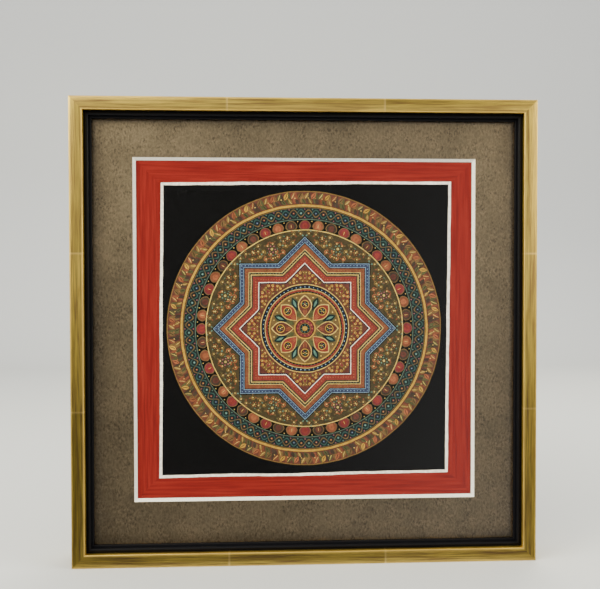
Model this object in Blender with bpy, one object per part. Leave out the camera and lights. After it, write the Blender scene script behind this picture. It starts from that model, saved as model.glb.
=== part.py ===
# Framed mandala painting: a painted cotton cloth behind a window mat and glass,
# in a gilded wooden frame with a beaded black liner.
# Metres, +Z up. The picture faces -Y and stands on its bottom rail at Z = 0.

import math

import bmesh
import bpy
from mathutils import Matrix, Vector

# Gilded frame
FRAME_SIDE = 0.412       # width and height over the gilded frame
FRAME_DEPTH = 0.040      # front face to back edge
GILT_FACE = 0.0118       # width of the gold face
GILT_BODY = 0.0075       # wall of the rail behind its front lip
GILT_LIP = 0.006         # thickness of the lip that covers the liner
GILT_ARRIS = 0.001       # radius of the two front edges

# Black liner
LINER_SHOW = 0.0058      # width seen between the gold face and the sight edge
LINER_BODY = 0.005       # wall of the liner beside the glass
LINER_QUIRK = 0.0009     # flat strip between the gold and the bead
LINER_BEAD = 0.0015      # radius of the half round bead
LINER_STEP = 0.0023      # drop from the foot of the bead to the inner tread
LINER_SIGHT = 0.0024     # thickness of the sight edge below the tread
LINER_ARRIS = 0.0004     # radius of the sight edge
LINER_TAIL = 0.005       # length of the liner behind the back board

# Sheets held in the liner, front to back
GLASS_THICK = 0.002
MAT_THICK = 0.0027
CLOTH_THICK = 0.001
BOARD_THICK = 0.003

# Window cut in the mat and the cloth behind it
WINDOW_SIDE = 0.3026     # clear square at the back of the mat
WINDOW_RISE = 0.0018     # centre of the window above the centre of the frame
CLOTH_SIDE = 0.336       # the cloth reaches behind the mat on every side

# Clearance between pieces that touch
GAP = 0.0003

ARC_STEPS = 6            # straight runs in a quarter or half round edge
CUT_MARGIN = 0.001       # how far a cutter stands past the face it cuts

# Places worked out from the sizes above
FRAME_HALF = FRAME_SIDE / 2
FRONT_Y = -FRAME_DEPTH / 2
CENTRE = Vector((0.0, 0.0, FRAME_HALF))
LINER_OUTER = GILT_BODY + GAP
LINER_FRONT = GILT_LIP + GAP
LINER_INNER = LINER_OUTER + LINER_BODY
SIGHT_INSET = GILT_FACE + LINER_SHOW
SIGHT_BACK = LINER_FRONT + LINER_STEP + LINER_SIGHT
STACK_SIDE = FRAME_SIDE - 2 * (LINER_INNER + GAP)
GLASS_FRONT = SIGHT_BACK + GAP
MAT_FRONT = GLASS_FRONT + GLASS_THICK + GAP
CLOTH_FRONT = MAT_FRONT + MAT_THICK + GAP
BOARD_FRONT = CLOTH_FRONT + CLOTH_THICK + GAP
LINER_BACK = BOARD_FRONT + BOARD_THICK + LINER_TAIL

SIDES = ("bottom", "left", "top", "right")


def clear_scene():
    for obj in list(bpy.data.objects):
        bpy.data.objects.remove(obj, do_unlink=True)


def new_collection(name):
    collection = bpy.data.collections.new(name)
    bpy.context.scene.collection.children.link(collection)
    return collection


def new_material(name, colour, roughness, metallic=0.0):
    material = bpy.data.materials.new(name)
    material.use_nodes = True
    shader = material.node_tree.nodes["Principled BSDF"]
    shader.inputs["Base Color"].default_value = (*colour, 1.0)
    shader.inputs["Roughness"].default_value = roughness
    shader.inputs["Metallic"].default_value = metallic
    return material


def add_object(name, mesh, collection, material=None):
    obj = bpy.data.objects.new(name, mesh)
    if material:
        mesh.materials.clear()
        mesh.materials.append(material)
    collection.objects.link(obj)
    return obj


def arc(centre_x, centre_y, radius, start_deg, end_deg):
    """Points on a round edge, from one angle to the other."""
    points = []
    for step in range(ARC_STEPS + 1):
        angle = math.radians(start_deg + (end_deg - start_deg) * step / ARC_STEPS)
        points.append((centre_x + radius * math.cos(angle), centre_y + radius * math.sin(angle)))
    return points


def gilt_profile():
    """Section of the gold rail as (inset from the outer edge, depth from the front)."""
    r = GILT_ARRIS
    points = arc(r, r, r, 180, 270)
    points += arc(GILT_FACE - r, r, r, 270, 360)
    points += [(GILT_FACE, GILT_LIP), (GILT_BODY, GILT_LIP)]
    points += [(GILT_BODY, FRAME_DEPTH), (0.0, FRAME_DEPTH)]
    return points


def liner_profile():
    """Section of the black liner: quirk, half round bead, tread and sight edge."""
    bead_x = GILT_FACE + LINER_QUIRK + LINER_BEAD
    tread = LINER_FRONT + LINER_STEP
    r = LINER_ARRIS
    points = [(LINER_OUTER, LINER_FRONT)]
    points += arc(bead_x, LINER_FRONT, LINER_BEAD, 180, 360)
    points += [(bead_x + LINER_BEAD, tread)]
    points += arc(SIGHT_INSET - r, tread + r, r, 270, 360)
    points += [(SIGHT_INSET, SIGHT_BACK), (LINER_INNER, SIGHT_BACK)]
    points += [(LINER_INNER, LINER_BACK), (LINER_OUTER, LINER_BACK)]
    return points


def extruded_outline(points, length):
    """Mesh of an outline in local XY, drawn out along local Z and welded shut."""
    curve = bpy.data.curves.new("outline", "CURVE")
    curve.dimensions = "2D"
    curve.fill_mode = "BOTH"
    curve.extrude = length / 2
    spline = curve.splines.new("POLY")
    spline.points.add(len(points) - 1)
    for point, (x, y) in zip(spline.points, points):
        point.co = (x, y, 0.0, 1.0)
    spline.use_cyclic_u = True
    guide = bpy.data.objects.new("outline", curve)
    bpy.context.scene.collection.objects.link(guide)
    evaluated = guide.evaluated_get(bpy.context.evaluated_depsgraph_get())
    mesh = bpy.data.meshes.new_from_object(evaluated)
    bpy.data.objects.remove(guide, do_unlink=True)
    bpy.data.curves.remove(curve)
    return mesh


def mitre_ends(mesh, length):
    """Saw both ends of a bar at 45 degrees, so the outer edge at X = 0 is the long one."""
    back_off = GAP / math.sqrt(2)
    bm = bmesh.new()
    bm.from_mesh(mesh)
    bmesh.ops.remove_doubles(bm, verts=bm.verts, dist=1e-6)
    for end in (-1, 1):
        geometry = bm.verts[:] + bm.edges[:] + bm.faces[:]
        saw_point = (0.0, 0.0, end * (length / 2 - back_off))
        bmesh.ops.bisect_plane(
            bm, geom=geometry, plane_co=saw_point, plane_no=(1.0, 0.0, end), clear_outer=True
        )
        open_edges = [edge for edge in bm.edges if edge.is_boundary]
        bmesh.ops.holes_fill(bm, edges=open_edges)
    bmesh.ops.recalc_face_normals(bm, faces=bm.faces)
    bm.to_mesh(mesh)
    bm.free()


def rail_mesh(name, profile):
    mesh = extruded_outline(profile, FRAME_SIDE)
    mesh.name = name
    mitre_ends(mesh, FRAME_SIDE)
    mesh.shade_smooth()
    mesh.set_sharp_from_angle(angle=math.radians(35))
    return mesh


def place_rails(prefix, mesh, collection, material):
    """Set one mitred rail along each side, turned about the centre of the frame."""
    inset_up = Matrix(((0, 0, -1, 0), (0, 1, 0, FRONT_Y), (1, 0, 0, -FRAME_HALF), (0, 0, 0, 1)))
    for turn, side in enumerate(SIDES):
        rail = add_object(f"{prefix}_{side}", mesh, collection, material)
        around = Matrix.Rotation(math.radians(90 * turn), 4, "Y")
        rail.matrix_world = Matrix.Translation(CENTRE) @ around @ inset_up


def sheet(name, side, thickness, front, rise, collection, material):
    """A flat square sheet whose front face lies at a depth behind the front of the frame."""
    mesh = bpy.data.meshes.new(name)
    bm = bmesh.new()
    bmesh.ops.create_cube(bm, size=1.0)
    bmesh.ops.scale(bm, vec=(side, thickness, side), verts=bm.verts)
    bm.to_mesh(mesh)
    bm.free()
    obj = add_object(name, mesh, collection, material)
    obj.location = (0.0, FRONT_Y + front + thickness / 2, FRAME_HALF + rise)
    return obj


def window_cutter(collection):
    """Square taper that cuts the mat's window with a 45 degree bevel facing the front."""
    depth = MAT_THICK + 2 * CUT_MARGIN
    back_half = WINDOW_SIDE / 2 - CUT_MARGIN
    front_half = back_half + depth
    mesh = bpy.data.meshes.new("window_cutter")
    bm = bmesh.new()
    bmesh.ops.create_cone(
        bm,
        cap_ends=True,
        segments=4,
        radius1=back_half * math.sqrt(2),
        radius2=front_half * math.sqrt(2),
        depth=depth,
        matrix=Matrix.Rotation(math.radians(90), 4, "X") @ Matrix.Rotation(math.radians(45), 4, "Z"),
    )
    bm.to_mesh(mesh)
    bm.free()
    cutter = add_object("window_cutter", mesh, collection)
    cutter.location = (0.0, FRONT_Y + MAT_FRONT + MAT_THICK / 2, FRAME_HALF + WINDOW_RISE)
    cutter.hide_render = True
    cutter.display_type = "WIRE"
    return cutter


def window_mat(collection, cutters, material):
    mat = sheet("window_mat", STACK_SIDE, MAT_THICK, MAT_FRONT, 0.0, collection, material)
    cut = mat.modifiers.new("window", "BOOLEAN")
    cut.operation = "DIFFERENCE"
    cut.solver = "EXACT"
    cut.object = window_cutter(cutters)


def build():
    clear_scene()
    parts = new_collection("framed_mandala_painting")
    cutters = new_collection("cutters")

    gold_leaf = new_material("gilt_gold_leaf", (0.42, 0.25, 0.06), 0.35, 1.0)
    black_lacquer = new_material("black_lacquer", (0.008, 0.008, 0.010), 0.3)
    clear_glass = new_material("clear_glass", (0.80, 0.84, 0.82), 0.03)
    speckled_mat = new_material("speckled_mat_board", (0.15, 0.11, 0.07), 0.85)
    painted_cotton = new_material("painted_cotton", (0.30, 0.03, 0.02), 0.8)
    brown_board = new_material("brown_hardboard", (0.20, 0.12, 0.06), 0.75)

    place_rails("gilt_rail", rail_mesh("gilt_rail", gilt_profile()), parts, gold_leaf)
    place_rails("liner_rail", rail_mesh("liner_rail", liner_profile()), parts, black_lacquer)
    sheet("glass", STACK_SIDE, GLASS_THICK, GLASS_FRONT, 0.0, parts, clear_glass)
    window_mat(parts, cutters, speckled_mat)
    sheet("painted_cloth", CLOTH_SIDE, CLOTH_THICK, CLOTH_FRONT, WINDOW_RISE, parts, painted_cotton)
    sheet("back_board", STACK_SIDE, BOARD_THICK, BOARD_FRONT, 0.0, parts, brown_board)


build()
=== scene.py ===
# Framed mandala painting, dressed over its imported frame.
# Metres, +Z up. The picture faces -Y and stands on its bottom rail.
import math
import random
import bpy
from mathutils import Euler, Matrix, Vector, noise


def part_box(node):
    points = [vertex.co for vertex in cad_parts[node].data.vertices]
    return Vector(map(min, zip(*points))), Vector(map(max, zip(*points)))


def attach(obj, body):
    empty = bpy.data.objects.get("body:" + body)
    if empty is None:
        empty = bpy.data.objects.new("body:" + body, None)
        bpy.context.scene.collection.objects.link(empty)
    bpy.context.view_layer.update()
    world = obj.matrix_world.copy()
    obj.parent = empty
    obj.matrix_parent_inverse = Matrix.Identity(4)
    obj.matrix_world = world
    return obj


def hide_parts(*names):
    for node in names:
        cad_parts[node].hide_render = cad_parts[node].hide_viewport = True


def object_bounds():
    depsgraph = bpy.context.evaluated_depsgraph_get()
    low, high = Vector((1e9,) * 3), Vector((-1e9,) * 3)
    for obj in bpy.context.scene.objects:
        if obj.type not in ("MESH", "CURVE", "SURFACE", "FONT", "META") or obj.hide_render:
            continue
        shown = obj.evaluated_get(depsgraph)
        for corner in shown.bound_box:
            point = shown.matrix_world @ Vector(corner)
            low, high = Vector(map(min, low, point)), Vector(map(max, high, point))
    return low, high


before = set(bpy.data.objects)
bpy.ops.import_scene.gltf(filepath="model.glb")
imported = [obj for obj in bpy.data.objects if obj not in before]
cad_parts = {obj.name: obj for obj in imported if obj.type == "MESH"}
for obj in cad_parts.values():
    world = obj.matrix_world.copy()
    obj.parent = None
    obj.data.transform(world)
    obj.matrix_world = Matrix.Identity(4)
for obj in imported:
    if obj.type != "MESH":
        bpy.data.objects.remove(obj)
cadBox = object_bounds()
mm = 0.001
print("frame loaded:", len(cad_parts), "nodes")


# Colours, nodes and meshes

def hexColour(code):
    # sRGB hex to the linear colour that a shader takes
    channels = [int(code[i:i + 2], 16) / 255 for i in (1, 3, 5)]
    linear = [c / 12.92 if c <= 0.04045 else ((c + 0.055) / 1.055) ** 2.4 for c in channels]
    return (*linear, 1.0)


def grey(value):
    return (value, value, value, 1.0)


def outputOf(source):
    # a node stands for its first output, and a pair names another one
    if isinstance(source, tuple):
        return source[0].outputs[source[1]]
    return source.outputs[0]


def addNode(tree, kind, settings=None, links=None):
    # settings are the node's own options or its sockets, links feed its sockets from other nodes
    newNode = tree.nodes.new("ShaderNode" + kind)
    for name, value in (settings or {}).items():
        if name == "stops":
            ramp = newNode.color_ramp
            while len(ramp.elements) < len(value):
                ramp.elements.new(0.5)
            for element, (place, colour) in zip(ramp.elements, value):
                element.position = place
                element.color = (*colour[:3], 1.0) if isinstance(colour, tuple) else grey(colour)
        elif isinstance(name, str) and hasattr(newNode, name):
            setattr(newNode, name, value)
        else:
            newNode.inputs[name].default_value = value
    for name, source in (links or {}).items():
        tree.links.new(outputOf(source), newNode.inputs[name])
    return newNode


def newMaterial(name):
    material = bpy.data.materials.new(name)
    material.use_nodes = True
    tree = material.node_tree
    return material, tree, tree.nodes["Principled BSDF"]


def dress(tree, shader, values, links=None):
    # values are the same all over the surface, links vary over it
    for name, value in values.items():
        shader.inputs[name].default_value = value
    for name, source in (links or {}).items():
        tree.links.new(outputOf(source), shader.inputs[name])


def stretchedNoise(tree, source, cell, settings):
    # noise whose blotches have the length of the cell along each axis
    at = addNode(tree, "VectorMath", {"operation": "MULTIPLY", 1: tuple(1 / c for c in cell)}, {0: source})
    return addNode(tree, "TexNoise", {"Scale": 1.0, **settings}, {"Vector": at})


def makePiece(name, points, faces, materials, slots=None, smooth=False):
    # a mesh in frame coordinates that rides on the only body
    mesh = bpy.data.meshes.new(name)
    mesh.from_pydata(points, [], faces)
    for material in materials:
        mesh.materials.append(material)
    if slots:
        mesh.polygons.foreach_set("material_index", slots)
    if smooth:
        mesh.shade_smooth()
    mesh.update()
    piece = bpy.data.objects.new(name, mesh)
    bpy.context.scene.collection.objects.link(piece)
    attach(piece, "root")
    return piece


# Camera, at the height and turn of the photograph

cameraSet = {
    "place": (-32.2 * mm, -634.6 * mm, 251.0 * mm),
    "turn": (88.94, 0.09, -2.46),      # degrees about X, Y and Z
    "lens": 42.0,                      # millimetres on a 36 mm sensor
}


def makeCamera():
    data = bpy.data.cameras.new("camera")
    data.lens = cameraSet["lens"]
    data.sensor_width = 36.0
    camera = bpy.data.objects.new("camera", data)
    camera.location = cameraSet["place"]
    camera.rotation_euler = Euler([math.radians(a) for a in cameraSet["turn"]])
    bpy.context.scene.collection.objects.link(camera)
    bpy.context.scene.camera = camera


makeCamera()
print("camera set")


# Gilded frame: imitation gold leaf over red bole on wood, rubbed along the rail.
# The leaf is laid in squares, so its laps cross the rail, and the edges wear bright.

giltSet = {
    "lip": 6 * mm,             # thickness of the gold lip over the liner
    "overhang": 4.3 * mm,      # how far the lip reaches past the rail's wall
    "leafPitch": 138.5 * mm,   # laps seen along the rails
    "lapWidth": 1.8 * mm,
    "lapShift": (1.3 * mm, 0.4 * mm),    # how far the first side starts past a lap, and each next one more
    "lapGold": "#FFDF88",      # two leaves over each other shine a little more
    "rubWidth": 0.62 * mm,     # the rubbed streaks, drawn a little coarse so that they show
    "rubLength": 30 * mm,
    "bandWidth": 2.4 * mm,     # broader bands where the leaf was laid thick or thin
    "bandLength": 70 * mm,
    "cloud": (26 * mm, 7 * mm),    # patches where the bole shows and the edges wear
    "arris": 0.6 * mm,         # rounding of the two front edges
    "crown": 0.28 * mm,        # how far the face swells in its middle
    "lightGold": "#FCDA64",
    "deepGold": "#98794E",
    "bole": "#7A3F22",
    "wornGold": "#D9B65E",
    "roughness": (0.25, 0.37),
    "waver": 0.03 * mm,        # how far the worn edges stray
    "steps": 60,               # runs along each rail
}


def giltLeafMaterial():
    material, tree, shader = newMaterial("giltLeafOnBole")
    s = giltSet
    railMap = addNode(tree, "UVMap", {"uv_map": "railMap"})
    along = addNode(tree, "SeparateXYZ", links={0: railMap})
    streak = stretchedNoise(tree, railMap, (s["rubLength"], s["rubWidth"], 1),
        {"Detail": 4.0, "Roughness": 0.65})
    band = stretchedNoise(tree, railMap, (s["bandLength"], s["bandWidth"], 1),
        {"Detail": 2.0, "Roughness": 0.5})
    cloud = stretchedNoise(tree, railMap, (*s["cloud"], 1), {"Detail": 3.0})
    rubbed = addNode(tree, "Math", {"operation": "ADD"}, {0: streak, 1: band})
    tint = addNode(tree, "MapRange", {"From Min": 0.77, "From Max": 1.25}, {"Value": rubbed})

    # each leaf has its own tone, and a light line where the next one laps it
    leafCount = addNode(tree, "Math", {"operation": "DIVIDE", 1: s["leafPitch"]}, {0: (along, "X")})
    leafNumber = addNode(tree, "Math", {"operation": "FLOOR"}, {0: leafCount})
    leafTone = addNode(tree, "TexWhiteNoise", {"noise_dimensions": "1D"}, {"W": leafNumber})
    leafPart = addNode(tree, "Math", {"operation": "FRACT"}, {0: leafCount})
    lapPart = s["lapWidth"] / s["leafPitch"]
    lapStops = [(0.0, 1), (lapPart, 0), (1 - lapPart * 0.4, 0), (1.0, 1)]
    lap = addNode(tree, "ValToRGB", {"stops": lapStops}, {"Fac": leafPart})
    gold = addNode(tree, "MixRGB", {"Color1": hexColour(s["deepGold"]), "Color2": hexColour(s["lightGold"])},
        {"Fac": tint})
    toneRange = addNode(tree, "MapRange", {"To Min": 0.86, "To Max": 1.08}, {"Value": (leafTone, "Value")})
    toned = addNode(tree, "MixRGB", {"blend_type": "MULTIPLY", "Fac": 1.0},
        {"Color1": gold, "Color2": toneRange})
    brokenLap = addNode(tree, "Math", {"operation": "MULTIPLY"}, {0: lap, 1: streak})
    lapShare = addNode(tree, "Math", {"operation": "MULTIPLY", 1: 1.4}, {0: brokenLap})
    lapped = addNode(tree, "MixRGB", {"Color2": hexColour(s["lapGold"])}, {"Fac": lapShare, "Color1": toned})

    # red bole shows in patches, and the edges are worn to a duller gold
    boleSpots = addNode(tree, "ValToRGB", {"stops": [(0.60, 0), (0.80, 1)]}, {"Fac": cloud})
    boleShare = addNode(tree, "Math", {"operation": "MULTIPLY", 1: 0.3}, {0: boleSpots})
    withBole = addNode(tree, "MixRGB", {"Color2": hexColour(s["bole"])}, {"Fac": boleShare, "Color1": lapped})
    worn = addNode(tree, "Attribute", {"attribute_name": "worn"})
    wornShare = addNode(tree, "Math", {"operation": "MULTIPLY"}, {0: (worn, "Fac"), 1: cloud})
    final = addNode(tree, "MixRGB", {"Color2": hexColour(s["wornGold"])},
        {"Fac": wornShare, "Color1": withBole})
    matt = addNode(tree, "Math", {"operation": "MULTIPLY_ADD", 1: 2.0}, {0: (worn, "Fac"), 2: cloud})
    low, high = s["roughness"]
    rough = addNode(tree, "MapRange", {"To Min": low, "To Max": high, "clamp": False}, {"Value": matt})
    height = addNode(tree, "Bump", {"Strength": 0.7, "Distance": 0.11 * mm}, {"Height": rubbed})
    dress(tree, shader, {"Metallic": 1.0}, {"Base Color": final, "Roughness": rough, "Normal": height})
    return material


def bareWoodMaterial(name, light, dark):
    # planed softwood that is left bare at the back: long grain, matt
    material, tree, shader = newMaterial(name)
    railMap = addNode(tree, "UVMap", {"uv_map": "railMap"})
    grain = stretchedNoise(tree, railMap, (70 * mm, 1.4 * mm, 1), {"Detail": 4.0, "Distortion": 0.4})
    colour = addNode(tree, "ValToRGB", {"stops": [(0.32, hexColour(dark)), (0.62, hexColour(light))]},
        {"Fac": grain})
    height = addNode(tree, "Bump", {"Strength": 0.3, "Distance": 0.1 * mm}, {"Height": grain})
    dress(tree, shader, {"Roughness": 0.72}, {"Base Color": colour, "Normal": height})
    return material


def arc(centreX, centreY, radius, startDeg, endDeg, steps):
    angles = [math.radians(startDeg + (endDeg - startDeg) * i / steps) for i in range(steps + 1)]
    return [(centreX + radius * math.cos(a), centreY + radius * math.sin(a)) for a in angles]


def onSquare(centreX, centreZ, side, reach, share, out=0.0):
    # a point on one side of an upright square, share running from -1 to 1 along it
    turn = side * math.pi / 2
    x, z = reach * share, -reach - out
    return (centreX + x * math.cos(turn) - z * math.sin(turn),
        centreZ + x * math.sin(turn) + z * math.cos(turn))


def sweepFrame(name, profile, half, front, materials, steps, wobble):
    # carries a closed profile of (inset, depth, slot, worn) round four mitred sides, corners closed
    centre = (cadBox[0] + cadBox[1]) / 2
    points = []
    faces = []
    slots = []
    maps = []
    wear = []
    girth = [0.0]
    for (x0, y0, _, _), (x1, y1, _, _) in zip(profile, profile[1:] + profile[:1]):
        girth.append(girth[-1] + math.hypot(x1 - x0, y1 - y0))
    count = len(profile)
    stations = steps * 4
    for station in range(stations):
        side, step = divmod(station, steps)
        for inset, depth, _, worn in profile:
            # worn edges waver a little along the rail
            shake = noise.noise(Vector((station * 0.31, inset * 400, depth * 400))) * wobble * worn
            x, z = onSquare(centre.x, centre.z, side, half - inset, step / steps * 2 - 1, shake)
            points.append((x, front + depth - shake * 0.5, z))
            wear.append(worn)
    for station in range(stations):
        side, step = divmod(station, steps)
        after = (station + 1) % stations
        # each side starts a little past a lap, so that no lap falls on a mitre
        firstShift, nextShift = giltSet["lapShift"]
        origin = side * 6 * giltSet["leafPitch"] + firstShift + nextShift * side + half
        for i in range(count):
            j = (i + 1) % count
            faces.append((station * count + i, station * count + j, after * count + j, after * count + i))
            slots.append(profile[i][2])
            corners = []
            for at, stop, around in ((i, step, i), (j, step, i + 1), (j, step + 1, i + 1), (i, step + 1, i)):
                corners.append((origin + (half - profile[at][0]) * (stop / steps * 2 - 1), girth[around]))
            maps.append(corners)
    piece = makePiece(name, points, faces, materials, slots, smooth=True)
    layer = piece.data.uv_layers.new(name="railMap")
    for polygon, corners in zip(piece.data.polygons, maps):
        for loop, corner in zip(polygon.loop_indices, corners):
            layer.data[loop].uv = corner
    field = piece.data.attributes.new("worn", "FLOAT", "POINT")
    field.data.foreach_set("value", wear)
    piece.data.set_sharp_from_angle(angle=math.radians(38))
    for edge in piece.data.edges:
        first, last = [divmod(v, count) for v in edge.vertices]
        if first[0] == last[0] and first[0] % steps == 0:
            edge.use_edge_sharp = True      # the mitre stays crisp
    return piece


def giltProfile(face, body, depth):
    # front face with a slight crown between two rounded edges, then the rabbet and the bare back
    s = giltSet
    r = s["arris"]
    points = [(x, y + s["crown"], 0, 1.0) for x, y in arc(r, r, r, 180, 270, 6)]
    crownSteps = 8
    for i in range(1, crownSteps):
        share = i / crownSteps
        x = r + (face - 2 * r) * share
        points.append((x, s["crown"] * (2 * share - 1) ** 2, 0, 0.0))
    points += [(x, y + s["crown"], 0, 1.0) for x, y in arc(face - r, r, r, 270, 360, 6)]
    points += [(face, s["lip"], 1, 0.0), (body, s["lip"], 1, 0.0), (body, depth, 1, 0.0)]
    points += [(0.0, depth, 0, 0.0), (0.0, depth * 0.5, 0, 0.0)]
    return points


def makeGiltFrame():
    low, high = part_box("gilt_rail_bottom")
    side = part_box("gilt_rail_left")
    half = (cadBox[1].x - cadBox[0].x) / 2
    face = side[1].x - side[0].x
    profile = giltProfile(face, face - giltSet["overhang"], high.y - low.y)
    materials = [giltLeafMaterial(), bareWoodMaterial("bareRailWood", "#B08A5C", "#7E5C38")]
    piece = sweepFrame("giltFrame", profile, half, low.y, materials, giltSet["steps"], giltSet["waver"])
    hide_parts("gilt_rail_bottom", "gilt_rail_left", "gilt_rail_top", "gilt_rail_right")


makeGiltFrame()
print("gilded frame made")


# Black liner: sprayed and rubbed black lacquer, so its bead carries a faint line of light

linerSet = {
    "seat": 6.3 * mm,          # depth of its front behind the gold face
    "wall": 5 * mm,
    "quirk": 0.9 * mm,         # flat strip between the gold and the bead
    "bead": 1.5 * mm,
    "tread": 2.3 * mm,         # drop from the foot of the bead
    "sight": 2.4 * mm,
    "arris": 0.5 * mm,
    "black": "#08080D",
    "worn": "#1D1A17",
    "roughness": (0.40, 0.55),
    "waver": 0.02 * mm,
    "steps": 40,
}


def blackLacquerMaterial():
    material, tree, shader = newMaterial("rubbedBlackLacquer")
    s = linerSet
    place = addNode(tree, "TexCoord")
    dust = addNode(tree, "TexNoise", {"Scale": 1 / (3 * mm), "Detail": 3.0}, {"Vector": (place, "Object")})
    worn = addNode(tree, "Attribute", {"attribute_name": "worn"})
    wornShare = addNode(tree, "Math", {"operation": "MULTIPLY"}, {0: (worn, "Fac"), 1: dust})
    softened = addNode(tree, "Math", {"operation": "MULTIPLY", 1: 0.35}, {0: wornShare})
    colour = addNode(tree, "MixRGB", {"Color1": hexColour(s["black"]), "Color2": hexColour(s["worn"])},
        {"Fac": softened})
    low, high = s["roughness"]
    rough = addNode(tree, "MapRange", {"To Min": low, "To Max": high}, {"Value": dust})
    height = addNode(tree, "Bump", {"Strength": 0.12, "Distance": 0.05 * mm}, {"Height": dust})
    dress(tree, shader, {"Specular IOR Level": 0.08},
        {"Base Color": colour, "Roughness": rough, "Normal": height})
    return material


def makeLiner():
    s = linerSet
    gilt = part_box("gilt_rail_left")
    low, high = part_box("liner_rail_left")
    outerEdge = cadBox[0].x
    outer = low.x - outerEdge
    sight = high.x - outerEdge
    start = gilt[1].x - outerEdge + s["quirk"]
    tread = s["seat"] + s["tread"]
    back = high.y - gilt[0].y
    inner = outer + s["wall"]
    points = [(outer, s["seat"], 0, 0.0)]
    points += [(x, y, 0, 0.6) for x, y in arc(start + s["bead"], s["seat"], s["bead"], 180, 360, 12)]
    points += [(start + 2 * s["bead"], tread, 0, 0.0)]
    r = s["arris"]
    points += [(x, y, 0, 1.0) for x, y in arc(sight - r, tread + r, r, 270, 360, 5)]
    points += [(sight, tread + s["sight"], 1, 0.0), (inner, tread + s["sight"], 1, 0.0)]
    points += [(inner, back, 1, 0.0), (outer, back, 0, 0.0)]
    materials = [blackLacquerMaterial(), bareWoodMaterial("bareLinerWood", "#A8845A", "#77583A")]
    half = (cadBox[1].x - cadBox[0].x) / 2
    piece = sweepFrame("linerFrame", points, half, gilt[0].y, materials, s["steps"], s["waver"])
    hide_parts("liner_rail_bottom", "liner_rail_left", "liner_rail_top", "liner_rail_right")


makeLiner()
print("black liner made")


# Window mat: thick board with a bevel cut at 45 degrees. Its face is a crackled paper with a
# bronze sheen, so it is light where it mirrors light and dark where it doesn't.

matSet = {
    "paperThick": 0.28 * mm,      # the face paper's own edge, seen above the white core
    "bevel": 2.7 * mm,
    "window": 302.6 * mm,         # clear side at the back of the board
    "rise": 1.8 * mm,
    "grain": 1.6 * mm,            # blotches of the paper
    "crackle": 4.2 * mm,          # cells of the crackle
    "cluster": 9 * mm,            # where the flecks lie close
    "cloud": 38 * mm,
    "lightPaper": "#9B8770",
    "midPaper": "#847460",
    "darkPaper": "#66594B",
    "core": "#FCF7EE",
    "coreShade": "#E8E2D8",
    "perSide": 24,                # runs along each side
}


def matPaperMaterial():
    material, tree, shader = newMaterial("crackledBronzePaper")
    s = matSet
    place = (addNode(tree, "TexCoord"), "Object")
    warp = addNode(tree, "TexNoise", {"Scale": 1 / (9 * mm), "Detail": 2.0}, {"Vector": place})
    warpBy = addNode(tree, "VectorMath", {"operation": "MULTIPLY_ADD", 1: (3 * mm, 3 * mm, 3 * mm)},
        {0: (warp, "Color"), 2: place})
    tall = addNode(tree, "VectorMath", {"operation": "MULTIPLY", 1: (1.0, 1.0, 0.6)}, {0: warpBy})
    grain = addNode(tree, "TexNoise", {"Scale": 1 / s["grain"], "Detail": 2.0, "Roughness": 0.6},
        {"Vector": tall})
    cells = addNode(tree, "TexVoronoi", {"feature": "DISTANCE_TO_EDGE", "Scale": 1 / s["crackle"]},
        {"Vector": tall})
    cracks = addNode(tree, "ValToRGB", {"stops": [(0.0, 1), (0.10, 0)]}, {"Fac": (cells, "Distance")})
    cloud = addNode(tree, "TexNoise", {"Scale": 1 / s["cloud"], "Detail": 3.0}, {"Vector": place})
    cluster = addNode(tree, "TexNoise", {"Scale": 1 / s["cluster"], "Detail": 1.0}, {"Vector": place})
    dense = addNode(tree, "MapRange", {"From Min": 0.38, "From Max": 0.64, "To Min": 0.5, "To Max": 1.2},
        {"Value": cluster})
    fleck = addNode(tree, "Math", {"operation": "SUBTRACT", 1: 0.5}, {0: grain})
    grouped = addNode(tree, "Math", {"operation": "MULTIPLY_ADD", 2: 0.5}, {0: fleck, 1: dense})
    mixed = addNode(tree, "Math", {"operation": "MULTIPLY_ADD", 1: 0.35}, {0: cloud, 2: grouped})
    papers = [(0.50, s["darkPaper"]), (0.68, s["midPaper"]), (0.84, s["lightPaper"])]
    colour = addNode(tree, "ValToRGB", {"stops": [(at, hexColour(code)) for at, code in papers]},
        {"Fac": mixed})
    crackShare = addNode(tree, "Math", {"operation": "MULTIPLY"}, {0: cracks, 1: cloud})
    cracked = addNode(tree, "MixRGB", {"Color2": hexColour(s["lightPaper"])},
        {"Fac": crackShare, "Color1": colour})
    relief = addNode(tree, "Math", {"operation": "SUBTRACT"}, {0: grouped, 1: crackShare})
    height = addNode(tree, "Bump", {"Strength": 0.06, "Distance": 0.08 * mm}, {"Height": relief})
    dress(tree, shader, {"Metallic": 0.92, "Roughness": 0.40}, {"Base Color": cracked, "Normal": height})
    return material


def boardCoreMaterial():
    # pressed cotton board: white, matt, with a faint fibre along the cut
    material, tree, shader = newMaterial("pressedBoardCore")
    place = addNode(tree, "TexCoord")
    fibre = addNode(tree, "TexNoise", {"Scale": 1 / (0.8 * mm), "Detail": 3.0}, {"Vector": (place, "Object")})
    stops = [(0.3, hexColour(matSet["coreShade"])), (0.6, hexColour(matSet["core"]))]
    colour = addNode(tree, "ValToRGB", {"stops": stops}, {"Fac": fibre})
    dress(tree, shader, {"Roughness": 0.85}, {"Base Color": colour})
    return material


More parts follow.
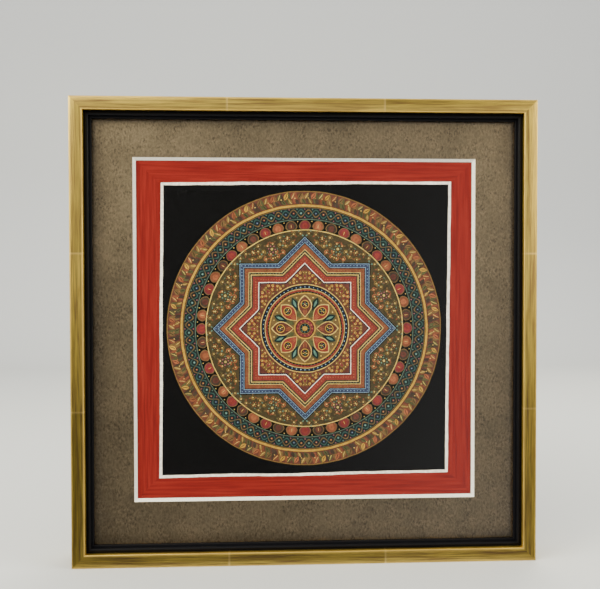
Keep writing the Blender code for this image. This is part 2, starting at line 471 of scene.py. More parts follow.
def makeWindowMat():
    # rings of (reach, rise, depth, slot): outer edge, face, paper edge, bevel foot and back
    s = matSet
    low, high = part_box("window_mat")
    middle = (low + high) / 2
    half = (high.x - low.x) / 2
    foot = s["window"] / 2
    cut = foot + s["bevel"]
    rings = [
        (half, 0.0, high.y, 1),
        (half, 0.0, low.y, 0),
        (cut, s["rise"], low.y, 0),
        (cut - s["paperThick"], s["rise"], low.y + s["paperThick"], 1),
        (foot, s["rise"], high.y, 1),
    ]
    points = []
    faces = []
    slots = []
    perSide = s["perSide"]
    around = 4 * perSide
    for reach, rise, y, _ in rings:
        for k in range(around):
            side, step = divmod(k, perSide)
            x, z = onSquare(middle.x, middle.z + rise, side, reach, step / perSide * 2 - 1)
            points.append((x, y, z))
    for ring in range(len(rings)):
        first = ring * around
        second = (ring + 1) % len(rings) * around
        for k in range(around):
            after = (k + 1) % around
            faces.append((first + k, first + after, second + after, second + k))
            slots.append(rings[ring][3])
    piece = makePiece("windowMat", points, faces, [matPaperMaterial(), boardCoreMaterial()], slots)
    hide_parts("window_mat")


makeWindowMat()
print("window mat made")


# Glass: drawn float glass, flat and sharp, so it mirrors a dim room and lets the picture through

glassSet = {
    "headOn": 0.043,        # share mirrored head on, for an index of 1.52
    "tint": "#FEFFFE",      # at each face, so that the whole pane is faintly green
    "roughness": 0.0,
}


def pictureGlassMaterial():
    material, tree, shader = newMaterial("clearFloatGlass")
    s = glassSet
    tree.nodes.remove(shader)
    # the same rise toward grazing on both faces, because light passes the pane unbent
    facing = addNode(tree, "LayerWeight", {"Blend": 0.5})
    grazing = addNode(tree, "Math", {"operation": "POWER", 1: 5.0}, {0: (facing, "Facing")})
    mirrored = addNode(tree, "Math", {"operation": "MULTIPLY_ADD", 1: 1 - s["headOn"], 2: s["headOn"]},
        {0: grazing})
    through = addNode(tree, "BsdfTransparent", {"Color": hexColour(s["tint"])})
    shine = addNode(tree, "BsdfGlossy", {"Roughness": s["roughness"]})
    both = addNode(tree, "MixShader", links={0: mirrored, 1: through, 2: shine})
    tree.links.new(both.outputs[0], tree.nodes["Material Output"].inputs["Surface"])
    return material


def finishNode(node, material):
    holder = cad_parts[node]
    if holder.material_slots:
        for slot in holder.material_slots:
            slot.material = material
    else:
        holder.data.materials.append(material)


finishNode("glass", pictureGlassMaterial())
print("glass finished")


# Back board: plain brown fibre board, pressed smooth with short dark fibres

def fibreBoardMaterial():
    material, tree, shader = newMaterial("pressedBrownBoard")
    place = (addNode(tree, "TexCoord"), "Object")
    fibre = addNode(tree, "TexNoise", {"Scale": 1 / (1.6 * mm), "Detail": 4.0, "Roughness": 0.7},
        {"Vector": place})
    patch = addNode(tree, "TexNoise", {"Scale": 1 / (60 * mm), "Detail": 2.0}, {"Vector": place})
    mixed = addNode(tree, "Math", {"operation": "MULTIPLY_ADD", 1: 0.4}, {0: patch, 2: fibre})
    stops = [(0.45, hexColour("#5E4028")), (0.85, hexColour("#8F6A45"))]
    colour = addNode(tree, "ValToRGB", {"stops": stops}, {"Fac": mixed})
    height = addNode(tree, "Bump", {"Strength": 0.2, "Distance": 0.08 * mm}, {"Height": fibre})
    dress(tree, shader, {"Roughness": 0.68}, {"Base Color": colour, "Normal": height})
    return material


finishNode("back_board", fibreBoardMaterial())
print("back board finished")


# Painted cloth: fine plain cotton sized with chalk and glue. The red border is brushed along
# each side, and behind the mat the cloth is left bare.

clothSet = {
    "thread": 0.55 * mm,       # pitch of the plain weave, a little coarse so that it shows
    "paintedHalf": 156 * mm,   # the red runs a little behind the mat
    "red": "#751D18",
    "redLight": "#892A21",
    "redDark": "#5F1515",
    "bare": "#C9BCA0",
    "strokeWidth": 2.2 * mm,
    "strokeLength": 60 * mm,
    "fray": 0.8 * mm,          # how far the cut edges waver
    "cells": 84,               # mesh cells along each side
}
clothLow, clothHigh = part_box("painted_cloth")
clothMiddle = (clothLow + clothHigh) / 2


def addWeave(tree, thread):
    # over and under of a plain weave as a height, from two crossed waves
    place = addNode(tree, "TexCoord")
    apart = addNode(tree, "SeparateXYZ", links={0: (place, "Object")})
    waves = []
    for axis in ("X", "Z"):
        turns = addNode(tree, "Math", {"operation": "MULTIPLY", 1: math.pi / thread}, {0: (apart, axis)})
        waves.append(addNode(tree, "Math", {"operation": "SINE"}, {0: turns}))
    return addNode(tree, "Math", {"operation": "MULTIPLY"}, {0: waves[0], 1: waves[1]})


def paintedCottonMaterial():
    material, tree, shader = newMaterial("brushedRedOnCotton")
    s = clothSet
    place = addNode(tree, "TexCoord")
    centred = addNode(tree, "VectorMath", {"operation": "SUBTRACT", 1: tuple(clothMiddle)},
        {0: (place, "Object")})
    size = addNode(tree, "VectorMath", {"operation": "ABSOLUTE"}, {0: centred})
    apart = addNode(tree, "SeparateXYZ", links={0: size})
    sides = {0: (apart, "X"), 1: (apart, "Z")}
    onSides = addNode(tree, "Math", {"operation": "GREATER_THAN"}, sides)
    reach = addNode(tree, "Math", {"operation": "MAXIMUM"}, sides)
    strokes = []
    for cell in ((s["strokeLength"], 1, s["strokeWidth"]), (s["strokeWidth"], 1, s["strokeLength"])):
        strokes.append(stretchedNoise(tree, centred, cell, {"Detail": 4.0, "Roughness": 0.6}))
    stroke = addNode(tree, "MixRGB", links={"Fac": onSides, "Color1": strokes[0], "Color2": strokes[1]})
    reds = [(0.3, s["redDark"]), (0.5, s["red"]), (0.75, s["redLight"])]
    red = addNode(tree, "ValToRGB", {"stops": [(at, hexColour(code)) for at, code in reds]}, {"Fac": stroke})
    unpainted = addNode(tree, "Math", {"operation": "GREATER_THAN", 1: s["paintedHalf"]}, {0: reach})
    colour = addNode(tree, "MixRGB", {"Color2": hexColour(s["bare"])}, {"Fac": unpainted, "Color1": red})
    weave = addWeave(tree, s["thread"])
    height = addNode(tree, "Bump", {"Strength": 0.14, "Distance": 0.05 * mm}, {"Height": weave})
    dress(tree, shader, {"Roughness": 0.86, "Specular IOR Level": 0.07},
        {"Base Color": colour, "Normal": height})
    return material


def makeCloth():
    # a closed thin sheet of small cells whose cut edges waver by part of a millimetre
    cells = clothSet["cells"]
    row = cells + 1
    size = clothHigh - clothLow
    points = []
    for y in (clothLow.y, clothHigh.y):
        for j in range(row):
            for i in range(row):
                x = clothLow.x + size.x * i / cells
                z = clothLow.z + size.z * j / cells
                if i in (0, cells):
                    inward = abs(noise.noise(Vector((0, 0, z * 90)))) * clothSet["fray"]
                    x -= math.copysign(inward, x - clothMiddle.x)
                if j in (0, cells):
                    inward = abs(noise.noise(Vector((x * 90, 5, 0)))) * clothSet["fray"]
                    z -= math.copysign(inward, z - clothMiddle.z)
                points.append((x, y, z))
    backStart = row * row
    faces = []
    for j in range(cells):
        for i in range(cells):
            a = j * row + i
            faces.append((a, a + 1, a + row + 1, a + row))
            b = a + backStart
            faces.append((b + row, b + row + 1, b + 1, b))
    rim = [i for i in range(row)] + [j * row + cells for j in range(1, row)]
    rim += [cells * row + i for i in range(cells - 1, -1, -1)] + [j * row for j in range(cells - 1, 0, -1)]
    for a, b in zip(rim, rim[1:] + rim[:1]):
        faces.append((a, a + backStart, b + backStart, b))
    piece = makePiece("paintedCloth", points, faces, [paintedCottonMaterial()])
    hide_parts("painted_cloth")
    return piece


cloth = makeCloth()
print("cloth made")


# Paints: ground minerals in hide glue, matt and slightly uneven where the brush ran dry.
# Every colour lies on the cloth as its own thin film, one film over the next.

paints = {
    "lampBlack": ("#09080A", 0.80, 0.0),
    "chalkWhite": ("#F4E6DC", 0.80, 0.0),
    "shellGold": ("#BA8F3B", 0.45, 0.35),
    "paleGold": ("#C5A65A", 0.50, 0.25),
    "goldOchre": ("#71572F", 0.70, 0.15),
    "leafOchre": ("#634D30", 0.70, 0.1),
    "umber": ("#392E27", 0.80, 0.0),
    "darkUmber": ("#1D1816", 0.80, 0.0),
    "redEarth": ("#542E28", 0.80, 0.0),
    "vermilion": ("#742D28", 0.80, 0.0),
    "madder": ("#66272D", 0.80, 0.0),
    "rust": ("#713F2D", 0.80, 0.0),
    "orange": ("#8C5035", 0.80, 0.0),
    "rose": ("#854C56", 0.80, 0.0),
    "indigo": ("#1A1C28", 0.80, 0.0),
    "azurite": ("#303650", 0.80, 0.0),
    "paleBlue": ("#7A92A6", 0.80, 0.0),
    "deepTeal": ("#171E21", 0.80, 0.0),
    "teal": ("#2D4744", 0.80, 0.0),
    "seaGreen": ("#4F6E63", 0.80, 0.0),
    "moss": ("#47472D", 0.80, 0.0),
    "darkOlive": ("#3B3222", 0.80, 0.0),
}
paintSet = {
    "brush": 2.6 * mm,      # patches where a load of paint ends
    "variation": (0.76, 1.2),
    "film": 0.045 * mm,     # step from one film to the next
    "waver": 0.3,           # millimetres that the hand strays
    "seed": 11,
    "bakeSpan": 272 * mm,   # side of the square that the OFBake map covers
}


def paintMaterial(name):
    code, roughness, metallic = paints[name]
    material, tree, shader = newMaterial(name + "Distemper")
    place = addNode(tree, "TexCoord")
    load = addNode(tree, "TexNoise", {"Scale": 1 / paintSet["brush"], "Detail": 3.0},
        {"Vector": (place, "Object")})
    tone = addNode(tree, "Attribute", {"attribute_name": "tone"})
    low, high = paintSet["variation"]
    shade = addNode(tree, "MapRange", {"From Min": 0.3, "From Max": 0.7, "To Min": low, "To Max": high},
        {"Value": load})
    both = addNode(tree, "Math", {"operation": "MULTIPLY"}, {0: shade, 1: (tone, "Fac")})
    colour = addNode(tree, "MixRGB", {"blend_type": "MULTIPLY", "Fac": 1.0, "Color1": hexColour(code)},
        {"Color2": both})
    weave = addWeave(tree, clothSet["thread"])
    height = addNode(tree, "Bump", {"Strength": 0.2, "Distance": 0.05 * mm}, {"Height": weave})
    values = {"Roughness": roughness, "Metallic": metallic, "Specular IOR Level": 0.07}
    dress(tree, shader, values, {"Base Color": colour, "Normal": height})
    return material


paintMaterials = {name: paintMaterial(name) for name in paints}
brushHand = random.Random(paintSet["seed"])
films = {}


def film(name):
    return films.setdefault(name, {"points": [], "faces": [], "paints": [], "tones": []})


def turnUp(points, face):
    # every patch faces the viewer, whichever way its outline was drawn
    corners = [points[i] for i in face]
    area = sum(x0 * y1 - x1 * y0 for (x0, y0), (x1, y1) in zip(corners, corners[1:] + corners[:1]))
    return face if area > 0 else face[::-1]


def addShape(name, outline, paint, tone=None):
    # one closed patch of paint, outline in millimetres from the middle of the disc
    layer = film(name)
    first = len(layer["points"])
    layer["points"] += outline
    layer["faces"].append(turnUp(layer["points"], list(range(first, first + len(outline)))))
    layer["paints"].append(paint)
    layer["tones"].append(tone or brushHand.uniform(0.85, 1.15))


def addStrip(name, left, right, paint, closed=False, tone=None):
    # a run of quads between two lines of the same number of points
    layer = film(name)
    first = len(layer["points"])
    count = len(left)
    layer["points"] += left + right
    toneHere = tone or brushHand.uniform(0.9, 1.1)
    for i in range(count if closed else count - 1):
        j = (i + 1) % count
        face = [first + i, first + j, first + count + j, first + count + i]
        layer["faces"].append(turnUp(layer["points"], face))
        layer["paints"].append(paint)
        layer["tones"].append(toneHere)


def addStroke(name, path, width, paint):
    # a brush stroke: full in its middle and fine at both ends
    left = []
    right = []
    last = len(path) - 1
    for i, (x, y) in enumerate(path):
        ahead = path[min(i + 1, last)]
        behind = path[max(i - 1, 0)]
        dx, dy = ahead[0] - behind[0], ahead[1] - behind[1]
        length = math.hypot(dx, dy) or 1
        half = width / 2 * (0.25 + 0.75 * math.sin(math.pi * min(i / last * 0.8 + 0.12, 1)))
        left.append((x - dy / length * half, y + dx / length * half))
        right.append((x + dy / length * half, y - dx / length * half))
    addStrip(name, left, right, paint)


def polar(radius, angle):
    return (radius * math.sin(angle), radius * math.cos(angle))


def circleAt(radius, steps, middle=(0.0, 0.0)):
    angles = [2 * math.pi * i / steps for i in range(steps)]
    return [(middle[0] + radius * math.sin(a), middle[1] + radius * math.cos(a)) for a in angles]


def placed(outline, radius, angle, scale=1.0, lean=0.0, mirror=1):
    # local Y points outward from the middle of the disc, mirror -1 flips left and right
    result = []
    for x, y in outline:
        x *= mirror
        turned = (x * math.cos(lean) + y * math.sin(lean), y * math.cos(lean) - x * math.sin(lean))
        outward, sideways = radius + turned[1] * scale, turned[0] * scale
        result.append((outward * math.sin(angle) + sideways * math.cos(angle),
            outward * math.cos(angle) - sideways * math.sin(angle)))
    return result


def addDot(name, size, middle, paint, steps=6):
    addShape(name, circleAt(size, steps, middle), paint)


def ringBand(name, outer, inner, paint, steps=240):
    addStrip(name, circleAt(outer, steps), circleAt(inner, steps), paint, closed=True, tone=1.0)


def petal(length, width, belly=0.8, point=1.0, steps=9):
    # half width follows a sine that is pushed toward the base or the tip
    side = []
    for i in range(1, steps):
        share = i / steps
        half = width / 2 * math.sin(math.pi * share ** belly) ** point
        side.append((half, length * share))
    return [(0.0, 0.0)] + side + [(0.0, length)] + [(-x, y) for x, y in reversed(side)]


def roundPetal(length, width, steps=10):
    # straight foot and a round head, as on a lotus throne
    angles = [math.pi * i / steps for i in range(steps + 1)]
    head = [(width / 2 * math.cos(a), length - width * 0.55 + width * 0.55 * math.sin(a)) for a in angles]
    return [(width * 0.34, 0.0)] + head + [(-width * 0.34, 0.0)]


def starRing(half, perEdge=7):
    # two crossed squares as one outline: eight tips and eight notches, points spread along the edges
    corners = []
    for k in range(8):
        corners.append(polar(half * math.sqrt(2), k * math.pi / 4))
        corners.append(polar(half / math.cos(math.pi / 8), (k + 0.5) * math.pi / 4))
    ring = []
    for (x0, y0), (x1, y1) in zip(corners, corners[1:] + corners[:1]):
        ring += [(x0 + (x1 - x0) * i / perEdge, y0 + (y1 - y0) * i / perEdge) for i in range(perEdge)]
    return ring


def starEdge(half, angle):
    # distance from the middle to the star's edge, angle measured from a tip
    return half / math.cos(math.pi / 4 - angle)


def pearls(path, size, paint):
    for spot in path:
        addDot("dots", size / 2 * brushHand.uniform(0.85, 1.15), spot, paint, 7)


def spiral(turns, size, steps=14):
    # a tendril that curls in on itself from its foot, centred on the origin
    path = []
    for i in range(steps + 1):
        share = i / steps
        radius = size / 2 * (1 - 0.85 * share)
        angle = share * turns * 2 * math.pi
        path.append((radius * math.cos(angle), radius * math.sin(angle)))
    return path


def scatterSpots(inside, radii, gap, tries, seed):
    # spots that keep their distance within half a sector, so that the filling is even but not ruled
    hand = random.Random(seed)
    spots = []
    for _ in range(tries):
        radius, angle = hand.uniform(*radii), hand.uniform(0.0, math.pi / 8)
        x, y = polar(radius, angle)
        nearAxis = min(x, radius * math.sin(math.pi / 8 - angle)) < gap * 0.42
        apart = all(math.hypot(x - a, y - b) > gap for a, b, _, _ in spots)
        if inside(radius, angle) and not nearAxis and apart:
            spots.append((x, y, radius, angle))
    return [(radius, angle, hand.uniform(0, 2 * math.pi)) for _, _, radius, angle in spots]


def fillWithScrolls(spots, size, line, golds, leaves):
    # one tendril with a bud and three small leaves at each spot, mirrored and repeated round the disc
    for number, (radius, angle, turn) in enumerate(spots):
        for k in range(16):
            mirror = 1 if k % 2 else -1
            where = (k // 2) * math.pi / 4 + mirror * angle
            lean = turn * mirror
            tendril = placed(spiral(1.25, size), radius, where, 1.0, lean, mirror)
            addStroke("bodies", tendril, line, golds[number % len(golds)])
            addDot("dots", line * 0.72, polar(radius, where), "paleGold")
            for side in (0.9, 2.6, 4.3):
                leaf = [(x, y + size * 0.36) for x, y in petal(size * 0.55, size * 0.30, steps=6)]
                paint = leaves[(number + int(side)) % len(leaves)]
                addShape("underpaint", placed(leaf, radius, where, 1.0, lean + side * mirror, mirror), paint)


# The design is a general one: leaf wreath, plaited ring, lotus ring, vines, a star with eight
# tips and a lotus with eight petals. Sizes are millimetres on the cloth.
designSet = {
    "wreath": (112.0, 124.0, 120),     # inner, outer, leaves in a row
    "goldRing": (109.9, 111.9),
    "plait": (98.6, 109.4, 48),        # inner, outer, waves
    "petalRing": (89.4, 98.2, 48),
    "thinRing": (88.4, 89.3),
    "star": 58.5,
    "lotus": 40.2,
    "vineGap": 4.6,
    "centre": (-0.7, 2.6),             # from the middle of the frame
    # the black field is a quadrilateral drawn by hand, edged by a wavering white line
    "fieldCorners": [(-130.7, -130.4), (128.7, -128.4), (131.2, 134.2), (-128.2, 132.4)],
    "edgeHalf": 1.22,
    "edgeBow": 0.9,
}


def paintWreath():
    inner, outer, count = designSet["wreath"]
    ringBand("ground", outer, outer - 0.9, "goldOchre")
    ringBand("ground", outer - 0.9, inner, "redEarth")
    backLeaves = ("umber", "moss", "rust", "leafOchre")
    tallLeaves = ("goldOchre", "orange", "moss", "shellGold", "rust", "leafOchre")
    lowLeaves = ("moss", "goldOchre", "umber")
    half = math.pi / count
    for k in range(count):
        angle = 2 * half * k
        size = brushHand.uniform(0.93, 1.06)
        nudged = angle + half * 0.2
        back = placed(petal(10.6, 4.2, 0.8, steps=7), inner + 0.7, angle + half, size, 0.12)
        addShape("underpaint", back, backLeaves[k % 4])
        tall = placed(petal(6.9, 3.5, 0.9, steps=7), inner + 4.9, angle, size, 0.55)
        addShape("bodies", tall, tallLeaves[k % 6])
        low = placed(petal(6.0, 3.2, 0.9, steps=7), inner + 0.3, nudged, size, -0.55)
        addShape("bodies", low, lowLeaves[k % 3])
        tallVein = placed([(0.0, 0.8), (0.2, 3.2), (0.0, 6.2)], inner + 4.9, angle, size, 0.55)
        addStroke("lines", tallVein, 0.62, ("paleGold", "darkUmber")[k % 2])
        lowVein = placed([(0.0, 0.8), (-0.2, 2.8), (0.0, 5.2)], inner + 0.3, nudged, size, -0.55)
        addStroke("lines", lowVein, 0.55, ("darkUmber", "paleGold", "umber")[k % 3])
        addDot("dots", 0.55, polar(inner + 5.6, angle + half * 1.1), ("paleGold", "orange")[k % 2])


def paintPlait():
    inner, outer, waves = designSet["plait"]
    ringBand("ground", outer + 0.5, outer, "darkUmber")
    ringBand("ground", outer, outer - 0.7, "leafOchre")
    ringBand("ground", outer - 0.7, inner + 0.7, "deepTeal")
    ringBand("ground", inner + 0.7, inner, "umber")
    middle = (inner + outer) / 2
    swing = (outer - inner) / 2 - 2.2
    steps = waves * 12
    for phase, paint, layer in ((0.0, "leafOchre", "underpaint"), (math.pi, "teal", "bodies")):
        path = []
        for i in range(steps):
            angle = 2 * math.pi * i / steps
            path.append((middle + swing * math.sin(waves * angle + phase), angle))
        edges = [[polar(r + wide, a) for r, a in path] for wide in (0.62, -0.62)]
        addStrip(layer, *edges, paint, closed=True)
    for k in range(waves * 2):
        spot = polar(middle, math.pi * (k + 0.5) / waves)
        addDot("lines", 1.05, spot, ("rust", "azurite", "madder", "seaGreen")[k % 4], 7)
        addDot("dots", 0.42, spot, "paleBlue" if k % 2 else "paleGold")
        for radius in (inner + 1.6, outer - 1.7):
            addDot("modelling", 0.6, polar(radius, math.pi * k / waves), "seaGreen" if k % 2 else "rose")


def paintPetalRing():
    inner, outer, count = designSet["petalRing"]
    ringBand("ground", outer + 0.4, outer, "seaGreen")
    ringBand("ground", outer, inner, "lampBlack")
    pitch = 2 * math.pi * (inner + outer) / 2 / count
    deep = outer - inner
    for k in range(count):
        angle = 2 * math.pi * k / count
        body, light = (("madder", "vermilion"), ("rust", "orange"), ("umber", "redEarth"))[k % 3]
        addShape("underpaint", placed(roundPetal(deep - 0.5, pitch * 0.88), inner + 0.1, angle), "leafOchre")
        addShape("bodies", placed(roundPetal(deep - 1.3, pitch * 0.74), inner + 0.3, angle), body)
        addShape("modelling", placed(roundPetal(deep - 3.6, pitch * 0.42), inner + 0.9, angle), light)
        addDot("dots", 0.5, polar(outer - 1.5, angle + math.pi / count), "paleGold")
        vein = placed([(0.0, 1.2), (0.0, 2.6), (0.0, 4.2)], inner + 0.6, angle)
        addStroke("lines", vein, 0.5, "paleGold" if k % 2 else body)
    ringBand("ground", designSet["thinRing"][1], designSet["thinRing"][0], "paleGold")


def blossom(angle, radius, size, outerPaint, innerPaint):
    middle = polar(radius, angle)
    addShape("lines", circleAt(size * 1.02, 14, middle), "darkOlive", 1.0)
    for k in range(6):
        turn = k * math.pi / 3 + angle
        spot = (middle[0] + size * 0.62 * math.sin(turn), middle[1] + size * 0.62 * math.cos(turn))
        addDot("modelling", size * 0.30, spot, outerPaint, 8)
        addDot("dots", size * 0.15, spot, innerPaint)
    addDot("dots", size * 0.24, middle, "paleGold", 8)


def paintVines():
    # the space between the star and the rings, eight times over and mirrored in each
    outerEdge = designSet["thinRing"][0]
    star = starRing(designSet["star"] + 0.9)
    circle = [polar(outerEdge, math.atan2(x, y)) for x, y in star]
    addStrip("ground", circle, star, "darkOlive", closed=True, tone=1.0)
    gap = designSet["vineGap"]
    edge = designSet["star"] + 1.0 + gap * 0.5

    def free(radius, angle):
        return starEdge(edge, angle) < radius < outerEdge - gap * 0.5

    spots = scatterSpots(free, (62.0, outerEdge), gap, 900, 5)
    leaves = ("moss", "rust", "seaGreen", "leafOchre")
    fillWithScrolls(spots, gap * 0.94, 0.95, ("goldOchre", "orange", "leafOchre"), leaves)
    for k in range(8):
        axis = (k + 0.5) * math.pi / 4
        blossom(axis, 77.6, 4.8, "madder" if k % 2 else "azurite", "rose" if k % 2 else "seaGreen")
        blossom(axis, 69.2, 2.6, "rust", "orange")
        for hand in (-1, 1):
            blossom(axis + hand * 0.20, 82.2, 3.3, "vermilion" if k % 2 else "madder", "orange")


def paintStar():
    edge = designSet["star"]
    bands = [
        (-0.9, 0.0, "lampBlack"), (0.0, 0.4, "paleBlue"), (0.4, 3.3, "azurite"), (3.3, 3.7, "paleBlue"),
        (3.7, 4.5, "darkUmber"), (4.5, 7.8, "rust"), (7.8, 8.4, "paleGold"), (8.4, 9.8, "deepTeal"),
        (9.8, 10.6, "paleGold"), (10.6, 11.8, "umber"), (11.8, 16.6, "vermilion"), (16.6, 17.2, "chalkWhite"),
        (17.2, 18.2, "indigo"),
    ]
    for outer, inner, paint in bands:
        addStrip("ground", starRing(edge - outer), starRing(edge - inner), paint, closed=True, tone=1.0)
    rows = [(1.9, "paleBlue", 0.8), (6.1, "goldOchre", 1.0), (9.1, "seaGreen", 0.7), (14.2, "orange", 1.2)]
    for inset, paint, size in rows:
        pearls(starRing(edge - inset, 11), size, paint)
    half = edge - bands[-1][1]
    lotus = designSet["lotus"]
    inner = starRing(half)
    circle = [polar(lotus, math.atan2(x, y)) for x, y in inner]
    addStrip("ground", inner, circle, "redEarth", closed=True, tone=1.0)

    def free(radius, angle):
        return lotus + 2.0 < radius < starEdge(half - 1.6, angle)

    spots = scatterSpots(free, (42.0, 56.0), 3.1, 500, 3)
    fillWithScrolls(spots, 2.9, 0.65, ("shellGold", "goldOchre"), ("vermilion", "moss"))
    for k in range(8):
        angle = k * math.pi / 4
        addShape("lines", placed(petal(9.6, 4.4), 42.0, angle), "goldOchre")
        addShape("dots", placed(petal(6.4, 2.5), 43.2, angle), "madder")
        addDot("lights", 0.55, polar(45.6, angle), "paleGold")


def paintLotus():
    rings = [
        (designSet["lotus"], 39.4, "paleGold"), (39.4, 38.9, "darkUmber"), (38.9, 36.2, "indigo"),
        (36.2, 35.6, "paleGold"), (35.6, 33.8, "vermilion"), (33.8, 32.5, "darkUmber"),
        (32.5, 31.4, "shellGold"),
    ]
    for outer, inner, paint in rings:
        ringBand("ground", outer, inner, paint, 160)
    addStrip("ground", circleAt(31.4, 96), circleAt(9.8, 96), "leafOchre", closed=True, tone=1.0)
    pearls(circleAt(37.5, 60), 1.1, "paleBlue")
    pearls(circleAt(34.7, 66), 0.8, "orange")
    pearls(circleAt(33.15, 72), 0.7, "seaGreen")
    for k in range(8):
        between = (k + 0.5) * math.pi / 4
        addShape("underpaint", placed(petal(20.5, 11.5, 1.0), 10.2, between), "moss")
        addShape("bodies", placed(petal(13.0, 5.6, 1.1), 17.0, between), "deepTeal")
        addShape("dots", placed(petal(7.6, 2.2, 1.1), 20.5, between), "seaGreen")
        for hand in (-1, 1):
            addDot("dots", 0.7, polar(28.9, between + hand * 0.13), "paleGold")
        angle = k * math.pi / 4
        addShape("bodies", placed(petal(20.6, 13.0, 1.15, 0.8), 10.0, angle), "paleGold")
        heartPaint = "vermilion" if k % 2 else "redEarth"
        addShape("modelling", placed(petal(18.6, 11.2, 1.15, 0.8), 10.8, angle), heartPaint)
        spot = polar(22.0, angle)
        addDot("lines", 3.9, spot, "shellGold", 14)
        addDot("dots", 3.1, spot, "darkUmber", 14)
        for turn in range(5):
            around = 2 * math.pi * turn / 5 + angle
            bead = (spot[0] + 1.7 * math.sin(around), spot[1] + 1.7 * math.cos(around))
            addDot("lights", 0.62, bead, ("rose", "seaGreen", "paleGold")[(turn + k) % 3])
        addDot("lights", 0.6, spot, "paleGold")
        for shift in (-1.6, 0.0, 1.6):
            vein = [(shift * 0.4, 1.6), (shift * 0.8, 4.0), (shift, 6.6)]
            addStroke("lines", placed(vein, 10.9, angle), 0.7, "orange")
    heart = [
        (9.8, 8.6, "shellGold"), (8.6, 7.9, "darkUmber"), (7.9, 5.2, "madder"), (5.2, 4.5, "goldOchre"),
        (4.5, 2.2, "deepTeal"),
    ]
    for outer, inner, paint in heart:
        ringBand("ground", outer, inner, paint, 64)
    addDot("ground", 2.2, (0.0, 0.0), "shellGold", 32)
    pearls(circleAt(6.55, 12), 1.5, "orange")
    pearls(circleAt(3.35, 8), 1.0, "seaGreen")


def paintGroundAndBorder():
    s = designSet
    corners = s["fieldCorners"]
    perSide = 44
    line = []
    for (x0, y0), (x1, y1) in zip(corners, corners[1:] + corners[:1]):
        length = math.hypot(x1 - x0, y1 - y0)
        normal = ((y1 - y0) / length, -(x1 - x0) / length)
        for i in range(perSide):
            share = i / perSide
            place = Vector((x0 * 0.1, y0 * 0.1, share * 3.1))
            bow = noise.noise(place) * s["edgeBow"] * math.sin(math.pi * share)
            line.append((x0 + (x1 - x0) * share + normal[0] * bow, y0 + (y1 - y0) * share + normal[1] * bow))
    count = len(line)
    outside = []
    inside = []
    for i, (x, y) in enumerate(line):
        before, after = line[i - 1], line[(i + 1) % count]
        dx, dy = after[0] - before[0], after[1] - before[1]
        length = math.hypot(dx, dy)
        corner = 1.35 if i % perSide == 0 else 1.0
        half = s["edgeHalf"] * corner * (1 + 0.16 * noise.noise(Vector((i * 0.35, 1.5, 0))))
        outside.append((x + dy / length * half, y - dx / length * half))
        inside.append((x - dy / length * half, y + dx / length * half))
    centreX, centreY = s["centre"]
    shifted = [[(x - centreX, y - centreY) for x, y in side] for side in (line, outside, inside)]
    addShape("blackField", shifted[0], "lampBlack", 1.0)
    addStrip("borderLine", shifted[1], shifted[2], "chalkWhite", closed=True, tone=1.0)


def layFilm(name, lift):
    # turns a film's outlines into a mesh that hugs the cloth, all films wavering alike
    layer = films[name]
    centreX, centreY = designSet["centre"]
    waver = paintSet["waver"]
    middleZ = (cadBox[0].z + cadBox[1].z) / 2
    points = []
    for x, y in layer["points"]:
        shakeX = noise.noise(Vector((x * 0.11, y * 0.11, 3.0))) * waver
        shakeY = noise.noise(Vector((x * 0.11, y * 0.11, 8.0))) * waver
        points.append(((centreX + x + shakeX) * mm, clothLow.y - lift, middleZ + (centreY + y + shakeY) * mm))
    used = sorted(set(layer["paints"]))
    slots = [used.index(p) for p in layer["paints"]]
    piece = makePiece(name, points, layer["faces"], [paintMaterials[p] for p in used], slots)
    field = piece.data.attributes.new("tone", "FLOAT", "FACE")
    field.data.foreach_set("value", layer["tones"])
    span = paintSet["bakeSpan"]
    uvLayer = piece.data.uv_layers.new(name="OFBake")
    for loop in piece.data.loops:
        place = piece.data.vertices[loop.vertex_index].co
        uvLayer.data[loop.index].uv = ((place.x + span / 2) / span, (place.z - middleZ + span / 2) / span)
    return piece


paintGroundAndBorder()
paintWreath()
ringBand("ground", designSet["goldRing"][1], designSet["goldRing"][0], "shellGold")
paintPlait()
paintPetalRing()
paintVines()
paintStar()
paintLotus()
filmOrder = [
    "blackField", "borderLine", "ground", "underpaint", "bodies", "modelling", "lines", "dots", "lights",
]
filmPieces = [layFilm(name, (i + 1) * paintSet["film"]) for i, name in enumerate(filmOrder)]
print("picture painted:", sum(len(p.data.polygons) for p in filmPieces), "patches")


# Floor, backdrop and light

